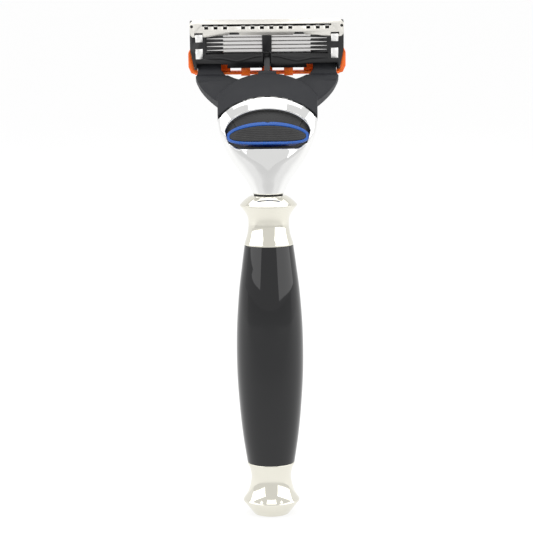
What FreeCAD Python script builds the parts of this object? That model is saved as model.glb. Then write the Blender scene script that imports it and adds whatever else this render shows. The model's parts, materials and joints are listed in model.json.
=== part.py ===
"""Cartridge razor: turned handle, chromed docking head and five-blade cartridge.

Millimetres. The origin is the centre of the base's flat face, +Z runs up the handle,
-Y is the thumb side with the eject button and +Y is the side the blades face.
"""
import FreeCAD, Part
import os
from math import asin, cos, degrees, radians, sin, sqrt

V = FreeCAD.Vector
X_AXIS = V(1, 0, 0)
Y_AXIS = V(0, 1, 0)
Z_AXIS = V(0, 0, 1)

# ---- handle, heights along the axis -------------------------------------------------
BASE_R = 4.65
LOWER_RIM_R = 7.5
LOWER_RIM_Z = 3.6
LOWER_WAIST_R = 5.33
GRIP_BOTTOM_Z = 14.1
GRIP_TOP_Z = 72.25
GRIP_MAX_R = 8.75
SEAM_BOTTOM_R = 6.28
SEAM_TOP_R = 6.43
UPPER_WAIST_R = 5.35
UPPER_RIM_R = 7.5
UPPER_RIM_Z = 82.6
CONE_TOP_R = 4.5
FERRULE_TOP_Z = 85.3
NECK_Z = 85.8
NECK_R = 4.15
WASHER_R = 3.8
TIE_ROD_R = 2.0
TIE_ROD_FIT = 0.03
SPIGOT_R = 4.0
SPIGOT_LENGTH = 3.0
THREAD_LENGTH = 4.8
LOWER_SOCKET_DEPTH = 8.5

# ---- head: the centreline bends forward, then runs straight along the docking line ----
BEND_R = 45.0
DOCK_TILT = 30.0
SHELL_WALL = 1.2
SHELL_FLOOR_Z = 92.5
SHELL_HALF_WIDTH = 13.1
CROWN_R = 22.1
CROWN_S = 0.2
PARTING_GAP = 0.15
SEAT_GAP = 0.05

# ---- eject button and slide, along the docking line --------------------------------
BUTTON_S = -10.05
BUTTON_HALF_WIDTH = 10.8
BUTTON_HALF_HEIGHT = 3.2
BUTTON_FACE_T = 4.5
BUTTON_FACE_HALF = 13.4
PAD_HALF_WIDTH = 9.75
PAD_HALF_HEIGHT = 2.2
WINDOW_BOTTOM_S = -13.2
WINDOW_SAG_S = -13.9
WINDOW_SIDE_S = -10.7
WINDOW_WIDE_S = -8.9
WINDOW_TOP_S = -3.5
WINDOW_BOTTOM_HALF = 7.9
WINDOW_SIDE_HALF = 11.15
WINDOW_HALF_WIDTH = 11.35
CORE_TOP_T = 2.0
SCREW_S = -7.5
SCREW_FACE_Y = 5.8
SCREW_R = 0.8
SCREW_HEAD_R = 1.0
SLIDE_BOTTOM_T = 2.1
SLIDE_LOW_S = -13.5
SLIDE_HIGH_S = -2.15

# ---- plunger --------------------------------------------------------------------------
PLUNGER_T = 0.6
PLUNGER_HALF = 0.75
PLUNGER_HEAD_R = 1.05
PLUNGER_FIT = 0.05
PLUNGER_SHOULDER_S = 4.0
SPRING_SEAT_S = -9.0
SPRING_WIRE_R = 0.16
NOSE_HALF_WIDTH = 5.5
NOSE_TOP_S = 7.0
NOSE_FRONT_T = -2.0
NOSE_BACK_T = 1.75

# ---- cartridge: X across, Y towards the skin, Z up the blade face -----------------------
CARTRIDGE_S = 13.63
CARTRIDGE_T = -1.2
REST_LEAN = 12.0
HINGE_Y = 0.2
HINGE_Z = -0.9
PIN_R = 0.6
PIN_FIT = 0.05
ARM_HALF = 0.9
ARM_OUTER = 18.4
ARM_INNER = 12.2
PIN_END = 19.15
HOUSING_HALF = 20.3
HOUSING_BACK = -2.6
HOUSING_FRONT = 1.6
HOUSING_LOW = -0.95
HOUSING_HIGH = 11.85
HOUSING_FRONT_HIGH = 11.0
TOP_SLOPE = (HOUSING_HIGH - HOUSING_FRONT_HIGH) / (HOUSING_FRONT - HOUSING_BACK)
EAR_LOW = -1.85
CAM_Y = -0.6
RIB_HALF = 1.25
BAY_HALF = 17.8
LEG_BAY_HALF = 11.65
LEG_HALF = 11.5
LEG_BACK = -1.25
BAY_LOW = 2.55
BAY_HIGH = 8.35
BLADES = 5
BLADE_PITCH = 1.04
FIRST_BLADE_V = 3.35
BLADE_THICK = 0.1
BLADE_WIDTH = 1.25
BLADE_HALF_LENGTH = 16.9
SUPPORT_THICK = 0.16
BLADE_ANGLE = 22.0
CLIP_X0 = 16.95
CLIP_X1 = 18.85
CLIP_THICK = 0.25
CLIP_LOW = 1.6
CLIP_HIGH = 7.95
PLATE_THICK = 0.3
PLATE_LOW = 7.5
PLATE_HIGH = 12.1

DOCK = V(0, BEND_R * (1 - cos(radians(DOCK_TILT))), NECK_Z + BEND_R * sin(radians(DOCK_TILT)))
DOCK_PLACE = FreeCAD.Placement(DOCK, FreeCAD.Rotation(X_AXIS, -DOCK_TILT))
CARTRIDGE = DOCK_PLACE.multVec(V(0, -CARTRIDGE_T, CARTRIDGE_S))
CARTRIDGE_PLACE = FreeCAD.Placement(CARTRIDGE, FreeCAD.Rotation(X_AXIS, REST_LEAN))
PIVOT = CARTRIDGE_PLACE.multVec(V(0, HINGE_Y, HINGE_Z))
PIVOT_IN_DOCK = DOCK_PLACE.inverse().multVec(PIVOT)
PIVOT_S = PIVOT_IN_DOCK.z
PIVOT_T = -PIVOT_IN_DOCK.y


# ---- helpers ----------------------------------------------------------------------------
def block(x, y, z):
    """A box from three (low, high) pairs."""
    return Part.makeBox(x[1] - x[0], y[1] - y[0], z[1] - z[0], V(x[0], y[0], z[0]))


def both_sides(shape):
    """The shape and its mirror image across the razor's middle plane."""
    return shape.fuse(shape.mirror(V(0, 0, 0), X_AXIS))


def line(a, b):
    return Part.makeLine(V(*a), V(*b))


def spline(points):
    curve = Part.BSplineCurve()
    curve.interpolate([V(*p) for p in points])
    return curve.toShape()


def arc(a, b, c):
    return Part.Arc(V(*a), V(*b), V(*c)).toShape()


def face(edges):
    return Part.Face(Part.Wire(Part.__sortEdges__(edges)))


def turned(edges):
    """Revolve an (r, 0, z) outline about the handle's axis."""
    return face(edges).revolve(V(0, 0, 0), Z_AXIS, 360)


def rod(r, low, high):
    return Part.makeCylinder(r, high - low, V(0, 0, low))


def cross_rod(r, x0, x1, y=0.0, z=0.0):
    return Part.makeCylinder(r, x1 - x0, V(x0, y, z), X_AXIS)


def flat_shape(points, y0, y1):
    """Extrude a polygon of (x, z) points from y0 to y1."""
    wire = Part.makePolygon([V(x, y0, z) for x, z in points + points[:1]])
    return Part.Face(wire).extrude(V(0, y1 - y0, 0))


def side_shape(points, x0, x1):
    """Extrude a polygon of (y, z) points from x0 to x1."""
    wire = Part.makePolygon([V(x0, y, z) for y, z in points + points[:1]])
    return Part.Face(wire).extrude(V(x1 - x0, 0, 0))


def oval(centre, half_width, half_height):
    """An ellipse wire in the plane whose normal is Y_AXIS."""
    curve = Part.Ellipse(V(0, 0, 0), half_width, half_height)
    wire = Part.Wire([curve.toShape()])
    wire.rotate(V(0, 0, 0), X_AXIS, -90)
    wire.translate(centre)
    return wire


def oval_prism(z, half_width, half_height, y0, y1):
    wire = oval(V(0, y0, z), half_width, half_height)
    return Part.Face(wire).extrude(V(0, y1 - y0, 0))


def section(half_width, half_depth, place):
    """An elliptical section lying across the local Z axis of a placement."""
    curve = Part.Ellipse(V(0, 0, 0), half_width, half_depth)
    wire = Part.Wire([curve.toShape()])
    wire.Placement = place
    return wire


def on_centreline(z):
    """Placement of the head's centreline at a height, or along the docking line above it."""
    if z < DOCK.z:
        tilt = asin((z - NECK_Z) / BEND_R)
        point = V(0, BEND_R * (1 - cos(tilt)), z)
        return FreeCAD.Placement(point, FreeCAD.Rotation(X_AXIS, -degrees(tilt)))
    along = (z - DOCK.z) / cos(radians(DOCK_TILT))
    return FreeCAD.Placement(DOCK_PLACE.multVec(V(0, 0, along)), DOCK_PLACE.Rotation)


def head_body(inset, low_z):
    """The head's outer form, shrunk by an inset and started at a height."""
    stations = [
        (NECK_Z, NECK_R + 0.02, NECK_R), (88.6, 5.45, 4.2), (91.6, 7.55, 4.45),
        (94.6, 9.6, 4.8), (98.0, 11.35, 5.1), (101.5, 12.55, 5.3),
        (105.0, 13.05, 5.25), (108.6, SHELL_HALF_WIDTH, 5.0), (112.0, 12.9, 4.7),
    ]
    wires = []
    for z, half_width, half_depth in stations:
        if z >= low_z:
            wires.append(section(half_width - inset, half_depth - inset, on_centreline(z)))
    return Part.makeLoft(wires, True, False)


def in_dock_frame(shape):
    placed = shape.copy()
    placed.Placement = DOCK_PLACE.multiply(placed.Placement)
    return placed


def to_dock_frame(shape):
    moved = shape.copy()
    moved.Placement = DOCK_PLACE.inverse().multiply(moved.Placement)
    return moved


def in_cartridge_frame(shape):
    placed = shape.copy()
    placed.Placement = CARTRIDGE_PLACE.multiply(placed.Placement)
    return placed


def crown(radius_growth=0.0):
    """Everything under the head's domed top edge, in the docking frame."""
    r = CROWN_R + radius_growth
    return Part.makeCylinder(r, 30, V(0, -15, CROWN_S - CROWN_R), Y_AXIS)


def save(name, shape):
    solids = shape.Solids
    result = solids[0] if len(solids) == 1 else Part.makeCompound(solids)
    print(name, "solids:", len(solids), "valid:", result.isValid())
    result.exportStep("parts/" + name + ".step")


# ---- handle -------------------------------------------------------------------------------
def lower_ferrule():
    rim = 0.35
    outline = [
        line((0, 0, 0), (BASE_R, 0, 0)),
        line((BASE_R, 0, 0), (LOWER_RIM_R, 0, LOWER_RIM_Z)),
        line((LOWER_RIM_R, 0, LOWER_RIM_Z), (LOWER_RIM_R, 0, LOWER_RIM_Z + rim)),
        spline([(LOWER_RIM_R, 0, LOWER_RIM_Z + rim), (6.1, 0, 6.2), (LOWER_WAIST_R, 0, 9.6),
                (5.6, 0, 12.0), (SEAM_BOTTOM_R, 0, 13.7)]),
        line((SEAM_BOTTOM_R, 0, 13.7), (SEAM_BOTTOM_R, 0, GRIP_BOTTOM_Z)),
        line((SEAM_BOTTOM_R, 0, GRIP_BOTTOM_Z), (0, 0, GRIP_BOTTOM_Z)),
        line((0, 0, GRIP_BOTTOM_Z), (0, 0, 0)),
    ]
    body = turned(outline).fuse(rod(SPIGOT_R, GRIP_BOTTOM_Z - 1, GRIP_BOTTOM_Z + SPIGOT_LENGTH))
    return body.cut(rod(TIE_ROD_R + TIE_ROD_FIT, GRIP_BOTTOM_Z - LOWER_SOCKET_DEPTH, GRIP_TOP_Z))


def grip():
    outline = [
        spline([(SEAM_BOTTOM_R, 0, GRIP_BOTTOM_Z), (7.35, 0, 21.2), (8.15, 0, 29),
                (GRIP_MAX_R, 0, 38.8), (8.72, 0, 49.5), (8.05, 0, 59.5), (7.2, 0, 66.5),
                (SEAM_TOP_R, 0, GRIP_TOP_Z)]),
        line((SEAM_TOP_R, 0, GRIP_TOP_Z), (0, 0, GRIP_TOP_Z)),
        line((0, 0, GRIP_TOP_Z), (0, 0, GRIP_BOTTOM_Z)),
        line((0, 0, GRIP_BOTTOM_Z), (SEAM_BOTTOM_R, 0, GRIP_BOTTOM_Z)),
    ]
    counterbore = SPIGOT_LENGTH + 0.1
    spigot_bore_r = SPIGOT_R + TIE_ROD_FIT
    body = turned(outline).cut(rod(TIE_ROD_R + TIE_ROD_FIT, 0, NECK_Z + 1))
    body = body.cut(rod(spigot_bore_r, GRIP_BOTTOM_Z - 1, GRIP_BOTTOM_Z + counterbore))
    return body.cut(rod(spigot_bore_r, GRIP_TOP_Z - counterbore, GRIP_TOP_Z + 1))


def upper_ferrule():
    rim = 0.3
    outline = [
        line((0, 0, GRIP_TOP_Z), (SEAM_TOP_R, 0, GRIP_TOP_Z)),
        line((SEAM_TOP_R, 0, GRIP_TOP_Z), (SEAM_TOP_R, 0, GRIP_TOP_Z + 0.4)),
        spline([(SEAM_TOP_R, 0, GRIP_TOP_Z + 0.4), (5.62, 0, 75.3), (UPPER_WAIST_R, 0, 78.2),
                (5.8, 0, 80.3), (UPPER_RIM_R, 0, UPPER_RIM_Z)]),
        line((UPPER_RIM_R, 0, UPPER_RIM_Z), (UPPER_RIM_R, 0, UPPER_RIM_Z + rim)),
        line((UPPER_RIM_R, 0, UPPER_RIM_Z + rim), (CONE_TOP_R, 0, FERRULE_TOP_Z)),
        line((CONE_TOP_R, 0, FERRULE_TOP_Z), (0, 0, FERRULE_TOP_Z)),
        line((0, 0, FERRULE_TOP_Z), (0, 0, GRIP_TOP_Z)),
    ]
    body = turned(outline).fuse(rod(SPIGOT_R, GRIP_TOP_Z - SPIGOT_LENGTH, GRIP_TOP_Z + 1))
    return body.cut(rod(TIE_ROD_R + TIE_ROD_FIT, 0, NECK_Z + 1))


def tie_rod():
    return rod(TIE_ROD_R, GRIP_BOTTOM_Z - LOWER_SOCKET_DEPTH + 0.2, NECK_Z + THREAD_LENGTH)


def neck_washer():
    return rod(WASHER_R, FERRULE_TOP_Z, NECK_Z).cut(rod(TIE_ROD_R + TIE_ROD_FIT, 0, NECK_Z + 1))


# ---- head -----------------------------------------------------------------------------------
def window_outline():
    """The button's opening in the back of the head, in the docking frame."""
    side = [(WINDOW_BOTTOM_HALF, 0, WINDOW_BOTTOM_S), (WINDOW_SIDE_HALF, 0, WINDOW_SIDE_S),
            (WINDOW_HALF_WIDTH, 0, WINDOW_WIDE_S)]
    mirrored = [(-x, y, z) for x, y, z in side]
    rise = WINDOW_TOP_S - WINDOW_WIDE_S
    shoulder = [(WINDOW_HALF_WIDTH * k, 0, WINDOW_WIDE_S + rise * sqrt(1 - k * k)) for k in (0.92, 0.7)]
    dome = [side[2], *shoulder, (0, 0, WINDOW_TOP_S)]
    dome += [(-x, y, z) for x, y, z in reversed(shoulder)] + [mirrored[2]]
    edges = [arc(mirrored[0], (0, 0, WINDOW_SAG_S), side[0]), spline(dome)]
    for points in (side, mirrored):
        edges += [line(points[0], points[1]), line(points[1], points[2])]
    return face(edges)


def head_shell():
    shell = to_dock_frame(head_body(0, 0).cut(head_body(SHELL_WALL, SHELL_FLOOR_Z)))
    shell = shell.common(crown().fuse(block((-20, 20), (-30, 30), (-40, -4.5))))
    window = window_outline().extrude(V(0, -12, 0))
    window.translate(V(0, -1.0, 0))
    shell = shell.cut(window)
    tapped = rod(TIE_ROD_R + TIE_ROD_FIT, NECK_Z - 1, NECK_Z + THREAD_LENGTH + 0.2)
    screw_hole = Part.makeCylinder(SCREW_HEAD_R + 0.05, 8, V(0, 1.0, SCREW_S), Y_AXIS)
    return in_dock_frame(shell.cut(screw_hole)).cut(tapped)


def plunger_space(clearance):
    """The room the plunger takes, with its rectangular bar and its round spring head."""
    half = PLUNGER_HALF + clearance
    bar = block((-half, half), (-PLUNGER_T - half, -PLUNGER_T + half), (0, 40))
    bore = Part.makeCylinder(PLUNGER_HEAD_R + clearance, PLUNGER_SHOULDER_S - SPRING_SEAT_S,
                             V(0, -PLUNGER_T, SPRING_SEAT_S))
    return bar.fuse(bore)


def docking_core():
    """Black insert that fills the front of the shell and carries the docking nose."""
    filling = to_dock_frame(head_body(SHELL_WALL + SEAT_GAP, SHELL_FLOOR_Z))
    under_slide = block((-20, 20), (-CORE_TOP_T, 20), (-20, 10))
    filling = filling.common(under_slide).common(crown())
    nose = block((-NOSE_HALF_WIDTH, NOSE_HALF_WIDTH), (-NOSE_BACK_T, -NOSE_FRONT_T),
                 (-3, NOSE_TOP_S))
    core = filling.fuse(nose).cut(plunger_space(PLUNGER_FIT))
    screw_hole = Part.makeCylinder(SCREW_R + 0.03, 20, V(0, 0.8, SCREW_S), Y_AXIS)
    return in_dock_frame(core.cut(screw_hole))


def core_screw():
    """Slotted screw through the front of the shell into the core."""
    head_low = SCREW_FACE_Y - 0.5
    shank = Part.makeCylinder(SCREW_R, head_low - 1.0, V(0, 1.1, SCREW_S), Y_AXIS)
    head = Part.makeCylinder(SCREW_HEAD_R, 0.5, V(0, head_low, SCREW_S), Y_AXIS)
    slot = block((-1.2, 1.2), (SCREW_FACE_Y - 0.25, SCREW_FACE_Y + 1), (SCREW_S - 0.15, SCREW_S + 0.15))
    return in_dock_frame(shank.fuse(head).cut(slot))


def face_dome(rise):
    """Elliptical bar along the docking line that domes the button's face."""
    low_end = FreeCAD.Placement(V(0, 0, -20), FreeCAD.Rotation())
    wire = section(BUTTON_FACE_HALF + rise, BUTTON_FACE_T + rise, low_end)
    return Part.Face(wire).extrude(V(0, 0, 40))


def button_well(half_width, half_height, floor):
    """Oval room in the button or slide, from a floor outward."""
    return oval_prism(BUTTON_S, half_width, half_height, -8, -SLIDE_BOTTOM_T - floor)


def eject_button():
    oval_body = button_well(BUTTON_HALF_WIDTH, BUTTON_HALF_HEIGHT, 0.6)
    seat = button_well(PAD_HALF_WIDTH, PAD_HALF_HEIGHT, 1.0)
    return in_dock_frame(oval_body.common(face_dome(0)).cut(seat))


def button_pad():
    pad_rise = 0.12
    groove_pitch = 0.42
    grooves_per_side = 3
    pad = button_well(PAD_HALF_WIDTH - 0.03, PAD_HALF_HEIGHT - 0.03, 1.02).common(face_dome(pad_rise))
    for i in range(-grooves_per_side, grooves_per_side + 1):
        groove = block((-12, 12), (-6, -BUTTON_FACE_T + 0.02), (-0.07, 0.07))
        groove.translate(V(0, 0, BUTTON_S + i * groove_pitch))
        pad = pad.cut(groove)
    return in_dock_frame(pad)


def ejector_slide():
    """Slide plate under the button, its ramp above it and two fingers for the cartridge."""
    inside = to_dock_frame(head_body(SHELL_WALL + 0.15, SHELL_FLOOR_Z))
    slab = block((-9.9, 9.9), (-8, -SLIDE_BOTTOM_T), (SLIDE_LOW_S, SLIDE_HIGH_S))
    slide = inside.common(slab).common(crown(-2.2))
    slide = slide.cut(button_well(BUTTON_HALF_WIDTH + 0.02, BUTTON_HALF_HEIGHT + 0.02, 0.58))
    finger = block((3.2, 5.2), (-SLIDE_BOTTOM_T - 1.0, -SLIDE_BOTTOM_T), (-4, 2))
    fingers = both_sides(finger).common(crown(-0.02))
    return in_dock_frame(slide.fuse(fingers))


def plunger():
    tip_s = PIVOT_S + plunger_tip_offset()
    half = PLUNGER_HALF
    bar = block((-half, half), (-PLUNGER_T - half, -PLUNGER_T + half), (PLUNGER_SHOULDER_S - 1, tip_s))
    tip = cross_rod(half, -half, half, -PLUNGER_T, tip_s)
    head = Part.makeCylinder(PLUNGER_HEAD_R, 1.6, V(0, -PLUNGER_T, PLUNGER_SHOULDER_S - 1.7))
    return in_dock_frame(bar.fuse(tip).fuse(head))


def plunger_tip_offset():
    """Where the round tip rests against the cam, along the docking line from the pivot."""
    angle = radians(90 - DOCK_TILT - REST_LEAN)
    rest_gap = 0.06
    reach = CAM_Y - HINGE_Y - PLUNGER_HALF - rest_gap
    return (reach + (PLUNGER_T - PIVOT_T) * sin(angle)) / cos(angle)


def plunger_spring():
    coil_r = 0.8
    low = SPRING_SEAT_S + 0.2
    high = PLUNGER_SHOULDER_S - 1.9 - SPRING_WIRE_R
    helix = Part.makeHelix(0.9, high - low, coil_r)
    start = Part.Wire([Part.makeCircle(SPRING_WIRE_R, V(coil_r, 0, 0), Y_AXIS)])
    spring = Part.Wire(helix.Edges).makePipeShell([start], True, True)
    spring.translate(V(0, -PLUNGER_T, low))
    return in_dock_frame(spring)


# ---- cartridge ------------------------------------------------------------------------------
def lens(stations):
    wires = []
    for s, half_width, half_depth in stations:
        place = FreeCAD.Placement(V(0, 0, s), FreeCAD.Rotation())
        wires.append(section(half_width, half_depth, place))
    return Part.makeLoft(wires, True, False)


def connecting_member():
    """Crescent that docks on the head, with two arms that reach up to the pivot."""
    shoulder = [
        line((0, 0, -10), (SHELL_HALF_WIDTH, 0, -10)),
        line((SHELL_HALF_WIDTH, 0, -10), (SHELL_HALF_WIDTH, 0, 0.4)),
        spline([(SHELL_HALF_WIDTH, 0, 0.4), (15.9, 0, 2.9), (18.1, 0, 6.0), (18.95, 0, 8.8)]),
        line((18.95, 0, 8.8), (ARM_OUTER, 0, 10.4)),
        line((ARM_OUTER, 0, 10.4), (ARM_OUTER, 0, 16)),
        line((ARM_OUTER, 0, 16), (ARM_INNER, 0, 16)),
        line((ARM_INNER, 0, 16), (ARM_INNER, 0, 11.3)),
        arc((ARM_INNER, 0, 11.3), (10.4, 0, 8.9), (7.4, 0, 7.15)),
        line((7.4, 0, 7.15), (0, 0, 7.15)),
        line((0, 0, 7.15), (0, 0, -10)),
    ]
    outline = face(shoulder).extrude(V(0, 16, 0))
    outline.translate(V(0, -8, 0))
    outline = both_sides(outline)
    thin = lens([(-6, 15.5, 3.6), (-1, 17, 3.2), (4, 24, 2.3), (7, 32, 1.6), (8.8, 38, 0.8)])
    arms = side_shape([(1.6, 6.6), (-1.65, 6.6), (0.5, 9.6), (-PIVOT_T - ARM_HALF, PIVOT_S),
                       (-PIVOT_T + ARM_HALF, PIVOT_S), (2.7, 9.6)], -20, 20)
    ends = cross_rod(ARM_HALF, -20, 20, -PIVOT_T, PIVOT_S)
    plates = outline.common(thin.fuse(arms).fuse(ends))
    dome_disc = Part.makeCylinder(16.1, 16, V(0, -8, -7.7), Y_AXIS)
    thick = lens([(-6, 14.2, 5.0), (-1, 14.8, 4.5), (4, 17, 3.7), (8, 19, 2.6), (10.6, 21, 1.7)])
    trunk = block((-SHELL_HALF_WIDTH, SHELL_HALF_WIDTH), (-8, 8), (-10, 12))
    dome = dome_disc.common(trunk).common(thick)
    guide = block((-2.4, 2.4), (-1.9, 0.6), (7.0, 9.5))
    member = plates.fuse(dome).fuse(guide).cut(crown(PARTING_GAP))
    socket = block((-NOSE_HALF_WIDTH - SEAT_GAP, NOSE_HALF_WIDTH + SEAT_GAP),
                   (-NOSE_BACK_T - SEAT_GAP, -NOSE_FRONT_T + SEAT_GAP), (-10, NOSE_TOP_S + 0.1))
    member = member.cut(socket).cut(plunger_space(PLUNGER_FIT + 0.05))
    pins = both_sides(cross_rod(PIN_R, ARM_OUTER - 1, PIN_END, -PIVOT_T, PIVOT_S))
    return in_dock_frame(member.fuse(pins))


def housing_outline():
    """Half outline across the cartridge, from the middle to its tapered end."""
    top_r = 0.8
    return [
        (0, HOUSING_LOW), (19.0, HOUSING_LOW), (19.45, HOUSING_LOW + 0.45), (HOUSING_HALF, 4.0),
        (HOUSING_HALF, HOUSING_HIGH - top_r), (HOUSING_HALF - top_r, HOUSING_HIGH), (0, HOUSING_HIGH),
    ]


def arm_pocket():
    """Room for an arm's end over the whole pivot range."""
    x = (10.5, ARM_OUTER + 0.12)
    r = ARM_HALF + 0.12
    room = cross_rod(r, *x, HINGE_Y, HINGE_Z)
    swept = side_shape([(HINGE_Y, HINGE_Z + r), (HOUSING_BACK - 1, HINGE_Z + r + 0.12),
                        (HOUSING_BACK - 1, HOUSING_LOW - 1), (HINGE_Y + r, HOUSING_LOW - 1),
                        (HINGE_Y + r, HINGE_Z)], *x)
    return room.fuse(swept).fuse(cross_rod(PIN_R + PIN_FIT, x[1] - 1, PIN_END + 0.08, HINGE_Y, HINGE_Z))


def clip_slots(clearance):
    """Two slots where a clip's legs pass through the cartridge."""
    x = (CLIP_X0 - clearance, CLIP_X1 + clearance)
    y = (-6, 6)
    low = block(x, y, (CLIP_LOW - clearance, CLIP_LOW + CLIP_THICK + clearance))
    high = block(x, y, (CLIP_HIGH - clearance, CLIP_HIGH + CLIP_THICK + clearance))
    return low.fuse(high)


def under_top(lift):
    """Side outline below the housing's sloping top, raised by a lift."""
    return [(HOUSING_BACK - 1, -5), (HOUSING_BACK - 1, HOUSING_HIGH + lift + TOP_SLOPE),
            (HOUSING_FRONT + 1, HOUSING_FRONT_HIGH + lift - TOP_SLOPE), (HOUSING_FRONT + 1, -5)]


def cartridge_housing():
    body = both_sides(flat_shape(housing_outline(), HOUSING_BACK, HOUSING_FRONT))
    body = body.common(side_shape(under_top(0), -HOUSING_HALF, HOUSING_HALF))
    bay = block((-LEG_BAY_HALF, LEG_BAY_HALF), (-1.5, 3), (BAY_LOW, BAY_HIGH))
    bay = bay.fuse(block((-BAY_HALF, BAY_HALF), (-0.65, 3), (BAY_LOW, BAY_HIGH)))
    window = block((RIB_HALF, LEG_BAY_HALF), (-4, 0), (BAY_LOW + 0.25, BAY_HIGH - 0.2))
    window = window.fuse(block((RIB_HALF, 16.2), (-4, -1.0), (BAY_LOW + 0.25, BAY_HIGH - 0.2)))
    strip_groove = block((-17.6, 17.6), (0.9, 3), (8.85, 10.8))
    trimmer_recess = block((-17.2, 17.2), (-3, HOUSING_BACK + 0.9), (9.3, 11.2))
    notch = block((-1.0, 1.0), (-4, CAM_Y), (-2, 3.4))
    ear = block((ARM_OUTER + 0.12, 19.4), (HINGE_Y - 0.95, HINGE_Y + 0.95), (EAR_LOW, 0))
    tab = flat_shape([(7.1, 7.75), (7.1, 7.92), (7.62, 8.6), (9.48, 8.6), (10.0, 7.92), (10.0, 7.75)],
                     HOUSING_BACK - 0.4, HOUSING_BACK + 0.4)
    body = body.fuse(both_sides(ear)).fuse(both_sides(tab))
    for room in (bay, both_sides(window), strip_groove, trimmer_recess, notch):
        body = body.cut(room)
    body = body.cut(both_sides(arm_pocket()))
    body = body.cut(both_sides(clip_slots(0.03)))
    return in_cartridge_frame(body)


def guard():
    """Skin guard below the blades, with rinse-through slots and a cheek at each end."""
    low = -3.45
    lip_top = -2.75
    front = (HOUSING_FRONT + 0.04, HOUSING_FRONT + 0.5)
    plate = block((-16.6, 16.6), front, (low, 2.5))
    lip = block((-19.3, 19.3), (0.3, front[1]), (low, lip_top))
    body = plate.fuse(lip)
    block_mid = block((4.5, 6.9), (-1.2, front[1]), (low, HOUSING_LOW - 0.04))
    end = flat_shape([(18.6, low), (20.2, -3.0), (20.95, -1.3), (20.95, 2.3),
                      (20.34, 3.5), (20.34, 3.2), (19.54, HOUSING_LOW + 0.3),
                      (19.54, EAR_LOW - 0.05), (18.6, EAR_LOW - 0.05)], 0.35, front[1])
    body = body.fuse(both_sides(block_mid)).fuse(both_sides(end))
    for x in [(1.45, 4.5), (6.9, 9.8), (12.4, 16.0)]:
        body = body.cut(both_sides(block(x, (-3, 3), (lip_top, -1.9))))
    return in_cartridge_frame(body)


def guard_fins():
    """Soft finned strip that lies on the guard's front."""
    base_y = HOUSING_FRONT + 0.52
    strip = block((-16.4, 16.4), (base_y, base_y + 0.25), (-0.6, 2.4))
    count = 9
    for i in range(count):
        v = -0.55 + i * 0.33
        fin = side_shape([(base_y, v), (base_y, v + 0.22), (base_y + 0.62, v + 0.14),
                          (base_y + 0.62, v + 0.06)], -16.2, 16.2)
        strip = strip.fuse(fin)
    return in_cartridge_frame(strip)


def lubricating_strip():
    profile = side_shape([(0.92, 8.88), (0.92, 10.77), (1.9, 10.77), (2.3, 10.35), (2.3, 9.25),
                          (2.0, 8.88)], -17.5, 17.5)
    return in_cartridge_frame(profile)


def trimmer_guard():
    """Silver comb plate over the back edge, with a long slit and rinse notches."""
    back = HOUSING_BACK - PLATE_THICK
    half = HOUSING_HALF
    lower = [
        (0, 7.95), (6.9, 7.95), (7.5, 8.7), (9.6, 8.7), (10.2, 7.95), (13.2, 7.95), (15.6, PLATE_LOW),
        (half - 0.7, PLATE_LOW), (half, PLATE_LOW + 0.6), (half, PLATE_HIGH - 1.0),
        (half - 1.0, PLATE_HIGH), (0, PLATE_HIGH),
    ]
    plate = both_sides(flat_shape(lower, back, HOUSING_BACK - 0.02))
    top = side_shape(under_top(0.25), 1.0 - half, half - 1.0)
    top = top.common(block((-half, half), (back, 0.6), (5, 15)))
    plate = plate.fuse(top.cut(side_shape(under_top(0.03), -half, half)))
    slit = block((-17.0, 17.0), (back - 1, HOUSING_BACK + 0.5), (10.36, 10.92))
    plate = plate.cut(slit)
    notch_pitch = 2.48
    for first in (1.24, 10.95):
        for i in range(3):
            x = first + i * notch_pitch
            notch = block((x - 0.52, x + 0.52), (back - 1, HOUSING_BACK + 0.5), (9.55, 10.45))
            plate = plate.cut(both_sides(notch))
    clip_hole = block((CLIP_X0 - 0.1, CLIP_X1 + 0.25), (back - 1, HOUSING_BACK + 0.5),
                      (CLIP_HIGH - 0.03, CLIP_HIGH + 0.7))
    corner_hole = Part.makeCylinder(0.4, 2, V(half - 0.55, back - 1, 10.35), Y_AXIS)
    return in_cartridge_frame(plate.cut(both_sides(clip_hole.fuse(corner_hole))))


def trimmer_blade():
    """Single blade for edging, set behind the comb plate."""
    floor_y = HOUSING_BACK + 0.88
    seat = side_shape([(floor_y, 9.32), (floor_y, 9.52), (floor_y - 0.62, 10.5),
                       (floor_y - 0.68, 10.45), (floor_y - 0.2, 9.32)], -16.9, 16.9)
    return in_cartridge_frame(seat)


def clip(side):
    """Metal clip round one end of the cartridge, bent over at the back."""
    x = (CLIP_X0, CLIP_X1)
    front = HOUSING_FRONT + 0.02
    outer_back = HOUSING_BACK - PLATE_THICK - 0.02
    top = block(x, (outer_back - CLIP_THICK, front), (CLIP_HIGH, CLIP_HIGH + CLIP_THICK))
    bottom = block(x, (HOUSING_BACK - 0.02 - CLIP_THICK, front), (CLIP_LOW, CLIP_LOW + CLIP_THICK))
    band = block(x, (front, front + CLIP_THICK), (CLIP_LOW, CLIP_HIGH + CLIP_THICK))
    upper_tail = block(x, (outer_back - CLIP_THICK, outer_back), (6.2, CLIP_HIGH + 0.1))
    lower_tail = block(x, (HOUSING_BACK - 0.02 - CLIP_THICK, HOUSING_BACK - 0.02), (CLIP_LOW, 4.35))
    shape = top.fuse(bottom).fuse(band).fuse(upper_tail).fuse(lower_tail)
    if side < 0:
        shape = shape.mirror(V(0, 0, 0), X_AXIS)
    return in_cartridge_frame(shape)


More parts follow.
